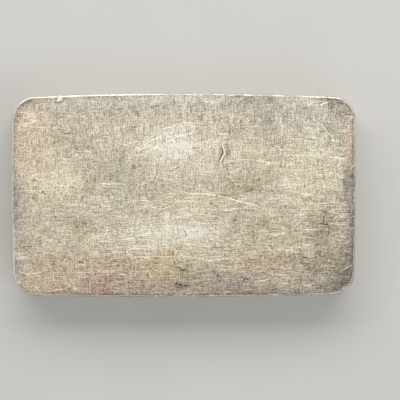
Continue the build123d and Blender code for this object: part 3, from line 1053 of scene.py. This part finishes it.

# Tarnish tints and painted shade: photo pixel of the middle, half sizes in pixels, change of red, green and
# blue
tarnishAndShade = [
    # the whole face: a little bluer at the top and sides, warmer at the foot, and darker on the right and
    # lower right as painted shade where less light falls
    ((180, 104), (175, 14), (-2, 0, 3)),
    ((300, 124), (64, 24), (-1, 0, 3)),
    ((180, 256), (175, 17), (1, -1, -2)),
    ((16, 210), (12, 80), (0, 0, 3)),
    ((347, 190), (10, 110), (0, 0, 4)),
    ((260, 290), (84, 9), (-2, 0, 2)),
    ((345, 195), (14, 105), (-5, -5, -4)),
    ((285, 240), (90, 60), (-4, -4, -4)),
    ((262, 150), (22, 50), (-4, -4, -4)),
    ((326, 262), (20, 34), (-3, -3, -3)),
    # the left side
    ((18, 110), (9, 9), (-10, -11, -6)),
    ((15, 126), (6, 14), (-8, -9, -6)),
    ((15, 193), (6, 14), (-7, -8, -8)),
    ((18, 266), (9, 12), (-10, -10, -6)),
    ((66, 98), (12, 5), (8, 8, 7)),
    ((74, 135), (10, 7), (6, 6, 7)),
    ((84, 167), (12, 9), (-13, -13, -9)),
    ((96, 196), (13, 8), (-7, -8, -8)),
    ((56, 245), (9, 10), (7, 6, 6)),
    ((95, 293), (34, 5), (-8, -11, -6)),
    # the middle
    ((130, 122), (10, 9), (-10, -10, -9)),
    ((132, 99), (9, 4), (8, 8, 8)),
    ((192, 117), (24, 9), (-6, -6, -5)),
    ((120, 155), (8, 8), (6, 7, 7)),
    ((177, 157), (10, 7), (6, 6, 7)),
    ((137, 143), (7, 7), (-7, -7, -6)),
    ((149, 196), (12, 8), (-11, -10, -9)),
    ((172, 180), (9, 7), (-6, -7, -8)),
    ((197, 193), (10, 7), (-8, -8, -8)),
    ((111, 241), (8, 6), (-9, -9, -9)),
    ((142, 253), (7, 6), (-7, -7, -7)),
    ((182, 255), (10, 8), (-8, -8, -8)),
    ((164, 267), (9, 14), (7, 6, 6)),
    ((175, 292), (16, 5), (8, 8, 9)),
    ((226, 292), (12, 5), (-7, -7, -6)),
    # the right side
    ((259, 99), (18, 8), (-8, -8, -7)),
    ((326, 101), (12, 7), (-15, -14, -13)),
    ((237, 152), (9, 10), (9, 8, 9)),
    ((233, 178), (12, 8), (-10, -10, -10)),
    ((232, 192), (24, 12), (-5, -5, -5)),
    ((271, 190), (11, 22), (-6, -7, -6)),
    ((258, 228), (14, 10), (-6, -6, -6)),
    ((220, 242), (14, 8), (-6, -7, -6)),
    ((238, 260), (14, 8), (-5, -6, -6)),
    ((291, 253), (10, 7), (9, 10, 10)),
    ((309, 274), (12, 14), (-6, -6, -4)),
    ((265, 295), (75, 4), (-9, -9, -8)),
    ((321, 200), (14, 8), (-9, -11, -9)),
    # beside the right rim
    ((342, 128), (8, 13), (-9, -8, -8)),
    ((351, 153), (7, 16), (-18, -17, -15)),
    ((350, 176), (7, 12), (-19, -18, -20)),
    ((351, 224), (7, 24), (-10, -9, -11)),
    ((347, 266), (10, 14), (-13, -12, -10)),
]

# How the patches of tone run out
toneEdge = {
    "reach": 1.3,               # a patch is gone this many half sizes from its middle
    "wallReach": 8.0,           # and this many millimetres down the wall
    "drift": [(0.35, 0.9), (0.95, 0.4)],    # its edge wanders: waves per mm and reach in mm
    "driftSeed": 2,             # without it the drift would differ from run to run
}


def patchShare(points, pixel, half):
    # How strongly a patch shows at each point, from 1 in its middle to 0 at its edge
    centre = photoPoint(pixel)
    away = points - np.array((centre.x, centre.y, faceHeight))
    along = away[:, 0] * photoView["pixelsPerMm"] / half[0]
    across = away[:, 1] * photoView["pixelsPerMm"] / half[1]
    below = away[:, 2] / toneEdge["wallReach"]
    share = np.clip(toneEdge["reach"] - np.sqrt(along**2 + across**2 + below**2), 0, 1)
    return (share * share * (3 - 2 * share))[:, None]


def layTonesAndPaintedLight(places):
    # Colour and cover of the toning, painted sheen and painted shade at every point, and the tint of the
    # tarnish and painted shade over it
    points = np.array(places)
    noise.seed_set(toneEdge["driftSeed"])
    for rate, reach in toneEdge["drift"]:
        points = points + np.array([noise.noise_vector(place * rate) for place in places]) * reach
    tone = np.zeros((len(places), 3))
    cover = np.zeros((len(places), 1))
    for pixel, half, colour, strength in toneSheenAndShadeBlooms:
        share = strength * patchShare(points, pixel, half)
        tone = tone * (1 - share) + np.array(srgb(*colour)[:3]) * share
        cover = cover * (1 - share) + share
    tintAndShade = np.zeros((len(places), 3))
    for pixel, half, change in tarnishAndShade:
        tintAndShade += patchShare(points, pixel, half) * np.array(change) / 255
    return np.hstack([tone / np.maximum(cover, 1e-6), cover]), tintAndShade


# The skin as one closed mesh

skinShape = {
    "waves": [(0.07, 0.012), (0.22, 0.008), (0.7, 0.004)],      # waves per mm and height in mm
    "roll": [(0.8, 0.012), (3.1, 0.01)],    # uneven wear of the rim, likewise
    "rest": 0.03,               # mean depth of the worn face under the solid's face
    "backRest": 0.02,           # and of the back, whose rim alone touches the table
    "faceSeed": 1.5,
    "backSeed": 7.5,
    "rimReach": 2.2,            # the face is read off the solid within this of its rim
    "lineDirtWaves": 0.6,       # the dirt line inside the rim comes and goes: waves per mm
    "lineDirtSwing": 0.9,
    "lineDirtSeed": 4.4,
    "markDepth": 0.8,           # marks on the edge end this far under the face
    "markCore": 1.6,            # and are full over their inner part
    "rubbedSheenPower": 0.8,
    "wallRubbedSheen": 0.1,          # how bright the wall is rubbed, with painted sheen
    "creaseAngle": 16,
}

edgeMarkPaths = [([photoPoint(pixel) for pixel in path], *rest) for path, *rest in edgeMarks]


def wave(x, y, seed):
    return sum(height * noise.noise(Vector((x * rate, y * rate, seed)))
               for rate, height in skinShape["waves"])


def dingAt(point):
    # How far a rim point is driven inwards and downwards by the dings near it
    inward, downward = 0.0, 0.0
    for position, reach, deepInward, deepDownward in edgeDings:
        centre = photoPoint(position)
        away = math.hypot(point.x - centre.x, point.y - centre.y) / reach
        if away < 1:
            share = (1 - away * away) ** 2 * min(1.0, point.z / faceHeight)
            inward += deepInward * share
            downward += deepDownward * share
    return inward, downward


def rimSheenAndWearAt(heading):
    # How bright the rim is, rubbed metal with a painted highlight, and how dirty the line inside it is, on
    # the side that it faces
    shares = {"far": max(0.0, heading.y), "near": max(0.0, -heading.y),
              "right": max(0.0, heading.x), "left": max(0.0, -heading.x)}
    rubbingSheen = sum(rimSheenAndWear[side][0] * share**2 for side, share in shares.items())
    lineDirt = sum(rimSheenAndWear[side][1] * share**2 for side, share in shares.items())
    return rubbingSheen, lineDirt


def edgeMarkAt(point):
    # Shine and grime that the marks on the edge leave at a point
    shine, grime = 0.0, 0.0
    if point.z < faceHeight - skinShape["markDepth"]:
        return shine, grime
    flat = Vector((point.x, point.y))
    for path, halfWidth, brightness, dirt in edgeMarkPaths:
        for a, b in zip(path, path[1:]):
            run = b - a
            share = min(1.0, max(0.0, (flat - a).dot(run) / run.length_squared))
            away = (flat - a - run * share).length / halfWidth
            if away < 1:
                strength = min(1.0, skinShape["markCore"] * (1 - away))
                shine = max(shine, brightness * strength)
                grime = max(grime, dirt * strength)
    return shine, grime


class Skin:
    # The skin's points, with what each one carries, and its faces
    def __init__(self):
        self.places, self.shine, self.grime, self.rim, self.faces = [], [], [], [], []

    def add(self, place, shine, grime, rim=0.0):
        self.places.append(place)
        self.shine.append(shine)
        self.grime.append(grime)
        self.rim.append(rim)

    def addFlat(self, faces, rim, turned=False):
        # Triangles whose points come next, and the rim ring as numbers in the whole skin
        start = len(self.places)
        for face in faces:
            self.faces.append(tuple(start + index for index in (reversed(face) if turned else face)))
        return [start + index for index in rim]


def layFace(skin, cuts):
    loop = [(column[0].x, column[0].y) for column in columns]
    points, faces, rim = triangulate("face", loop, cuts, pits)
    sink, cutShine, cutGrime = stampCuts(points, cuts, pits, dishes)
    ring = skin.addFlat(faces, rim)

    lineDirt = np.zeros(len(points))
    waves, seed = skinShape["lineDirtWaves"], skinShape["lineDirtSeed"]
    for index, (_, heading) in zip(rim, stations):
        place = points[index]
        swing = skinShape["lineDirtSwing"] * noise.noise(Vector((place.x * waves, place.y * waves, seed)))
        lineDirt[index] = rimSheenAndWearAt(heading)[1] * (1.0 + swing)

    nearRim = ~insideLoop(points, loop, skinShape["rimReach"])
    for index, point in enumerate(points):
        place = Vector((point.x, point.y, faceHeight))
        markShine, markGrime = 0.0, 0.0
        if nearRim[index]:
            place = Vector((point.x, point.y, formHit(place + Vector((0, 0, 2)), Vector((0, 0, -1))).z))
            markShine, markGrime = edgeMarkAt(place)
        place.z -= (skinShape["rest"] + wave(point.x, point.y, skinShape["faceSeed"]) + sink[index]
                    + dingAt(place)[1])
        place.z = min(place.z, faceHeight)
        skin.add(place, max(cutShine[index], markShine), max(cutGrime[index], markGrime, lineDirt[index]))
    return ring


def layRim(skin):
    # Rings of points from under the face's ring to above the back's
    rings = []
    frontTurns = rimShape["frontTurns"]
    for row in range(1, len(columns[0]) - 1):
        rings.append([len(skin.places) + station for station in range(len(stations))])
        rounding = max(0.0, 1 - row / frontTurns)
        # painted highlight, brightest partway round the rounded edge, over its rubbed metal
        rubbedSheenShare = math.sin(math.pi * min(row, frontTurns) / frontTurns) ** skinShape["rubbedSheenPower"]
        for column, (_, heading) in zip(columns, stations):
            place = column[row].copy()
            dentInward, dentDownward = dingAt(place)
            markShine, markGrime = edgeMarkAt(place)
            roll = sum(height * (1 + noise.noise(place * rate)) for rate, height in skinShape["roll"])
            place += heading.to_3d() * -1 * (roll + dentInward)
            level = wave(place.x, place.y, skinShape["faceSeed"])
            place.z -= rounding * (skinShape["rest"] + level + dentDownward)
            rubbedSheen = rimSheenAndWearAt(heading)[0] * rubbedSheenShare if row <= frontTurns else skinShape["wallRubbedSheen"]
            skin.add(place, markShine, markGrime, rubbedSheen)
    return rings


def layBack(skin, cuts):
    loop = [(column[-1].x, column[-1].y) for column in columns]
    points, faces, rim = triangulate("back", loop, cuts, [])
    sink, shine, grime = stampCuts(points, cuts, [], [])
    ring = skin.addFlat(faces, rim, turned=True)
    onRim = set(rim)
    for index, point in enumerate(points):
        level = skinShape["backRest"] + wave(point.x, point.y, skinShape["backSeed"]) + sink[index]
        level = 0.0 if index in onRim else max(0.0, level)
        skin.add(Vector((point.x, point.y, level)), shine[index], grime[index])
    return ring


def buildSkin(material):
    tree = buildScratchTree()
    faceCuts = gatherCuts("face", tree, material)
    backCuts = gatherCuts("back", tree, material)
    print("cuts gathered:", len(faceCuts), "on the face,", len(backCuts), "on the back")

    skin = Skin()
    rings = [layFace(skin, faceCuts)]
    rings += layRim(skin)
    rings.append(layBack(skin, backCuts))
    for upper, lower in zip(rings, rings[1:]):
        for station in range(len(stations)):
            following = (station + 1) % len(stations)
            skin.faces.append((upper[station], lower[station], lower[following], upper[following]))

    mesh = bpy.data.meshes.new("worn_ingot")
    mesh.from_pydata([place * mm for place in skin.places], [], skin.faces)
    toningSheenAndShade, tintAndShade = layTonesAndPaintedLight(skin.places)
    carried = [
        ("shine", "FLOAT", "value", skin.shine),
        ("grime", "FLOAT", "value", skin.grime),
        ("rim", "FLOAT", "value", skin.rim),
        ("toningSheenAndShade", "FLOAT_COLOR", "color", toningSheenAndShade),
        ("tintAndShade", "FLOAT_VECTOR", "vector", tintAndShade),
    ]
    for name, kind, key, values in carried:
        layer = mesh.attributes.new(name, kind, "POINT")
        layer.data.foreach_set(key, np.array(values, np.float32).ravel())
    mesh.materials.append(material)
    mesh.shade_smooth()
    mesh.set_sharp_from_angle(angle=math.radians(skinShape["creaseAngle"]))
    mesh.validate()
    wornBar = placed("worn_ingot", mesh)
    mesh.calc_loop_triangles()
    print("skin made:", len(mesh.vertices), "points,", len(mesh.loop_triangles), "triangles")
    return wornBar


# Finish

silver = {
    "body": srgb(215, 206, 185),
    "duller": srgb(190, 180, 160),
    # colour of the rim's rubbed metal and its painted highlight
    "rubbedSheen": srgb(238, 235, 225),
    "cloudSize": (5.0, 4.0, 4.0),       # sizes are in mm
    "mottleSize": (1.7, 1.5, 1.5),
    "mottle": 0.03,             # tone steps, as shares of the range from black to white
    "textureDepth": 0.19,
    "speckDepth": 0.15,
    "shineLift": 0.27,
    "grimeDrop": 0.36,
    "darkest": 0.05,
    "lightest": 0.99,
    "wallCalm": 0.5,            # share of the texture that the wall shows
    "wallSpan": (0.7, 0.2),     # it fades in between these depths under the face
    "backCalm": 0.85,           # share that the back shows, and the heights where it fades
    "backSpan": (0.2, 0.6),
    "markCalm": 0.8,            # how far a mark wipes out the texture under it
    "grainSize": (0.17, 0.17, 0.17),
    "grainWeight": 0.45,
    "speckSize": (0.42, 0.42, 0.42),
    "speckSpan": (0.34, 0.24),
    "patchSize": (2.6, 2.6, 2.6),
    "hairlines": [              # turn in degrees, size of a stroke, weight
        (1, (2.5, 0.14, 0.14), 0.4),
        (90, (2.4, 0.14, 0.14), 0.43),
        (0, (0.55, 0.15, 0.15), 0.34),
        (90, (0.5, 0.15, 0.15), 0.28),
        (37, (0.6, 0.155, 0.155), 0.2),
        (-36, (0.6, 0.155, 0.155), 0.2),
        (63, (0.6, 0.155, 0.155), 0.17),
        (-61, (0.6, 0.155, 0.155), 0.17),
    ],
    # long strokes vary over the face: from and to in mm, and the share at each
    "levelAcross": (12.0, -8.0, 0.85, 1.35),
    "levelAlong": (-30.0, -18.0, 0.72, 1.0),
    "uprightAcross": (-2.0, 13.0, 0.75, 1.15),
    "roughness": (0.36, 0.52),
    "dirtRoughness": 0.7,
    "rubbedRoughness": 0.3,
    "metallic": 0.86,
    "dirtMetallic": 0.35,
    "bumpStrength": 0.8,
    "bumpHeight": 0.00002,
}

# Warm dirt lodged on the hammered facet of the right edge
facetDirt = {
    "pixel": (349.4, 144),
    "half": (3.0, 27),
    "depth": 3.0,               # mm
    "colour": srgb(207, 184, 157),
    "strength": 0.8,
    "fade": (1.1, 0.7),         # from nothing to full, in half sizes
}


def tonedMetalWithPaintedLight(make, millimetres):
    # Cloudy metal under the toning, painted sheen and painted shade that the skin carries, with the tarnish
    # tints and painted shade over both
    clouds = make.cloud(make.mapped(millimetres, silver["cloudSize"]), detail=4.0, roughness=0.65)
    colour = make.mix(make.between(clouds, 0.3, 0.7), silver["duller"], silver["body"])
    toningSheenAndShade = make.add("ShaderNodeAttribute", attribute_name="toningSheenAndShade").outputs
    colour = make.mix(toningSheenAndShade["Alpha"], colour, toningSheenAndShade["Color"])
    mottle = make.cloud(make.mapped(millimetres, silver["mottleSize"], (2, 8, 3)), detail=2.0)
    mottle = make.between(mottle, 0.3, 0.7, -silver["mottle"], silver["mottle"])
    return make.toned(colour, make.vectors("ADD", make.carried("tintAndShade", "Vector"), mottle))


def brushedTexture(make, millimetres, along, across):
    # Hairlines brushed several ways, each way stronger in patches, and the grain between them
    level = make.between(across, *silver["levelAcross"])
    level = make.maths("MULTIPLY", level, make.between(along, *silver["levelAlong"]))
    upright = make.between(across, *silver["uprightAcross"])
    texture = 0.5
    for number, (turn, size, weight) in enumerate(silver["hairlines"]):
        strokes = make.mapped(millimetres, size, (7.3 * number, 3.1 * number, 1.3), turn)
        strokes = make.between(make.cloud(strokes, detail=1.0), 0.32, 0.68, -weight, weight)
        patch = make.mapped(millimetres, silver["patchSize"], (11.0 * number, 5.0, 2.0))
        patch = make.between(make.cloud(patch, detail=1.0), 0.4, 0.6, 0.4, 1.0)
        if number < 2:
            patch = make.maths("MULTIPLY", patch, (level, upright)[number])
        texture = make.maths("MULTIPLY_ADD", strokes, patch, texture)
    grain = make.mapped(millimetres, silver["grainSize"], (9.2, 1.9, 4.4))
    grain = make.cloud(grain, detail=2.0, roughness=0.7)
    speckle = make.between(grain, 0.3, 0.7, -silver["grainWeight"], silver["grainWeight"])
    return make.maths("ADD", texture, speckle, clamp=True), grain


def toneShift(make, millimetres, height, texture, shine, grime):
    # How much lighter or darker the texture, the specks and the marks make each spot
    shift = make.between(texture, 0.0, 1.0, -silver["textureDepth"], silver["textureDepth"])
    wallLow, wallHigh = (faceHeight - depth for depth in silver["wallSpan"])
    calm = make.maths("MAXIMUM", make.between(height, wallLow, wallHigh, silver["wallCalm"], 1.0),
                      make.between(height, *silver["backSpan"], silver["backCalm"], 0.0))
    shift = make.maths("MULTIPLY", shift, calm)
    specks = make.cloud(make.mapped(millimetres, silver["speckSize"], (1.2, 6.6, 8.1)), detail=1.0)
    specks = make.between(specks, *silver["speckSpan"])
    shift = make.maths("MULTIPLY_ADD", specks, -silver["speckDepth"], shift)
    marked = make.between(make.maths("MAXIMUM", shine, grime), 0.0, 0.8, 1.0, 1.0 - silver["markCalm"])
    shift = make.maths("MULTIPLY", shift, marked)
    shift = make.maths("MULTIPLY_ADD", shine, silver["shineLift"], shift)
    return make.maths("MULTIPLY_ADD", grime, -silver["grimeDrop"], shift)


def lodgedDirt(make, millimetres, grain):
    # Share of warm dirt, strongest along the facet
    centre = photoPoint(facetDirt["pixel"])
    halfX, halfY = (size / photoView["pixelsPerMm"] for size in facetDirt["half"])
    shaped = make.mapped(millimetres, (halfX, halfY, facetDirt["depth"]), (centre.x, centre.y, faceHeight))
    reach = make.add("ShaderNodeVectorMath", {0: shaped}, operation="LENGTH").outputs["Value"]
    share = make.between(reach, *facetDirt["fade"], 0.0, facetDirt["strength"], smooth=True)
    return make.maths("MULTIPLY", share, make.between(grain, 0.35, 0.55, 0.5, 1.0))


def buildSilver():
    material = bpy.data.materials.new("wornSilver")
    material.use_nodes = True
    make = Wiring(material.node_tree)
    place = make.add("ShaderNodeTexCoord").outputs["Object"]
    millimetres = make.mapped(place, (mm, mm, mm))
    parts = make.add("ShaderNodeSeparateXYZ", {0: millimetres}).outputs
    shine = make.carried("shine")
    grime = make.carried("grime")

    texture, grain = brushedTexture(make, millimetres, parts["X"], parts["Y"])
    shift = toneShift(make, millimetres, parts["Z"], texture, shine, grime)
    # the rim's rubbed metal and painted highlight
    rubbedSheen = make.between(grain, 0.3, 0.6, 0.6, 1.0)
    rubbedSheen = make.maths("MULTIPLY", make.carried("rim"), rubbedSheen, clamp=True)
    lodged = lodgedDirt(make, millimetres, grain)
    colour = tonedMetalWithPaintedLight(make, millimetres)
    colour = make.mix(lodged, colour, facetDirt["colour"])
    colour = make.mix(rubbedSheen, colour, silver["rubbedSheen"])
    colour = make.toned(colour, shift)

    smoothest, roughest = silver["roughness"]
    roughness = make.between(texture, 0.0, 1.0, roughest, smoothest)
    roughness = make.blended(grime, roughness, silver["dirtRoughness"])
    roughness = make.blended(rubbedSheen, roughness, silver["rubbedRoughness"])
    metallic = make.between(make.maths("MAXIMUM", grime, lodged), 0.0, 1.0,
                            silver["metallic"], silver["dirtMetallic"])
    bump = make.add("ShaderNodeBump", {"Height": texture, "Strength": silver["bumpStrength"],
                                       "Distance": silver["bumpHeight"]})
    surface = make.add("ShaderNodeBsdfPrincipled", {
        "Base Color": colour,
        "Roughness": roughness,
        "Metallic": metallic,
        "Normal": bump.outputs["Normal"],
    })
    make.add("ShaderNodeOutputMaterial", {"Surface": surface.outputs["BSDF"]})
    return material


wornSilver = buildSilver()
wornIngot = buildSkin(wornSilver)
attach(wornIngot, "root")
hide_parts("ingot")
print("bar dressed")

# Table, light and camera

studio = {
    "floorSize": 5.0,
    "floorColour": srgb(214, 213, 210),
    "floorClouds": srgb(217, 216, 213),
    "floorCloudSize": (0.02, 0.02, 0.02),
    "floorRoughness": 0.85,
    "ambient": 0.5,
    "seen": srgb(214, 213, 210),
    "lamps": [
        # name, place, aim, size, watts, colour
        ("keyLamp", (-0.02, 0.42, 0.38), (0, 0, 0), (0.95, 0.35), 2.7, (1.0, 0.98, 0.95)),
        ("fillLamp", (0.3, -0.3, 0.45), (0, 0, 0), (0.5, 0.5), 0.8, (0.95, 0.97, 1.0)),
    ],
}


def buildFloor():
    half = studio["floorSize"] / 2
    corners = [(-half, -half, 0), (half, -half, 0), (half, half, 0), (-half, half, 0)]
    mesh = bpy.data.meshes.new("table")
    mesh.from_pydata(corners, [], [(0, 1, 2, 3)])
    material = bpy.data.materials.new("paleTable")
    material.use_nodes = True
    make = Wiring(material.node_tree)
    place = make.add("ShaderNodeTexCoord").outputs["Object"]
    clouds = make.cloud(make.mapped(place, studio["floorCloudSize"]), detail=3.0)
    colour = make.mix(make.between(clouds, 0.3, 0.7), studio["floorColour"], studio["floorClouds"])
    surface = make.add("ShaderNodeBsdfPrincipled", {"Base Color": colour,
                                                    "Roughness": studio["floorRoughness"]})
    make.add("ShaderNodeOutputMaterial", {"Surface": surface.outputs["BSDF"]})
    mesh.materials.append(material)
    floor = placed("table", mesh)


def buildWorld():
    # The camera, reflections and clear things see the pale surround; it lights the bar more softly
    world = bpy.data.worlds.new("studio")
    bpy.context.scene.world = world
    world.use_nodes = True
    make = Wiring(world.node_tree)
    rays = make.add("ShaderNodeLightPath").outputs
    shown = make.maths("MAXIMUM", rays["Is Camera Ray"], rays["Is Glossy Ray"])
    shown = make.maths("MAXIMUM", shown, rays["Is Transmission Ray"])
    lighting = make.add("ShaderNodeBackground", {"Strength": studio["ambient"]})
    seen = make.add("ShaderNodeBackground", {"Color": studio["seen"]})
    blend = make.add("ShaderNodeMixShader", {0: shown, 1: lighting.outputs[0], 2: seen.outputs[0]})
    make.add("ShaderNodeOutputWorld", {"Surface": blend.outputs[0]})


def buildLamps():
    for name, place, aim, size, watts, colour in studio["lamps"]:
        data = bpy.data.lights.new(name, "AREA")
        data.shape = "RECTANGLE"
        data.size, data.size_y = size
        data.energy = watts
        data.color = colour
        lamp = placed(name, data)
        lamp.location = place
        lamp.rotation_euler = (Vector(aim) - Vector(place)).to_track_quat("-Z", "Y").to_euler()


def buildCamera():
    # Looks straight down; it stands beside the bar's middle as far as the photo's middle does
    scale = photoView["pixelsPerMm"]
    middle = photoView["size"] / 2
    data = bpy.data.cameras.new("camera")
    data.sensor_width = photoView["sensor"]
    data.lens = photoView["focalPixels"] / photoView["size"] * photoView["sensor"]
    camera = placed("camera", data)
    x = (middle - photoView["barCentre"][0]) / scale
    y = (photoView["barCentre"][1] - middle) / scale
    z = faceHeight + photoView["focalPixels"] / scale
    camera.location = (x * mm, y * mm, z * mm)
    bpy.context.scene.camera = camera


buildFloor()
buildWorld()
buildLamps()
buildCamera()
bpy.context.scene.view_settings.view_transform = "Standard"
print("studio set")
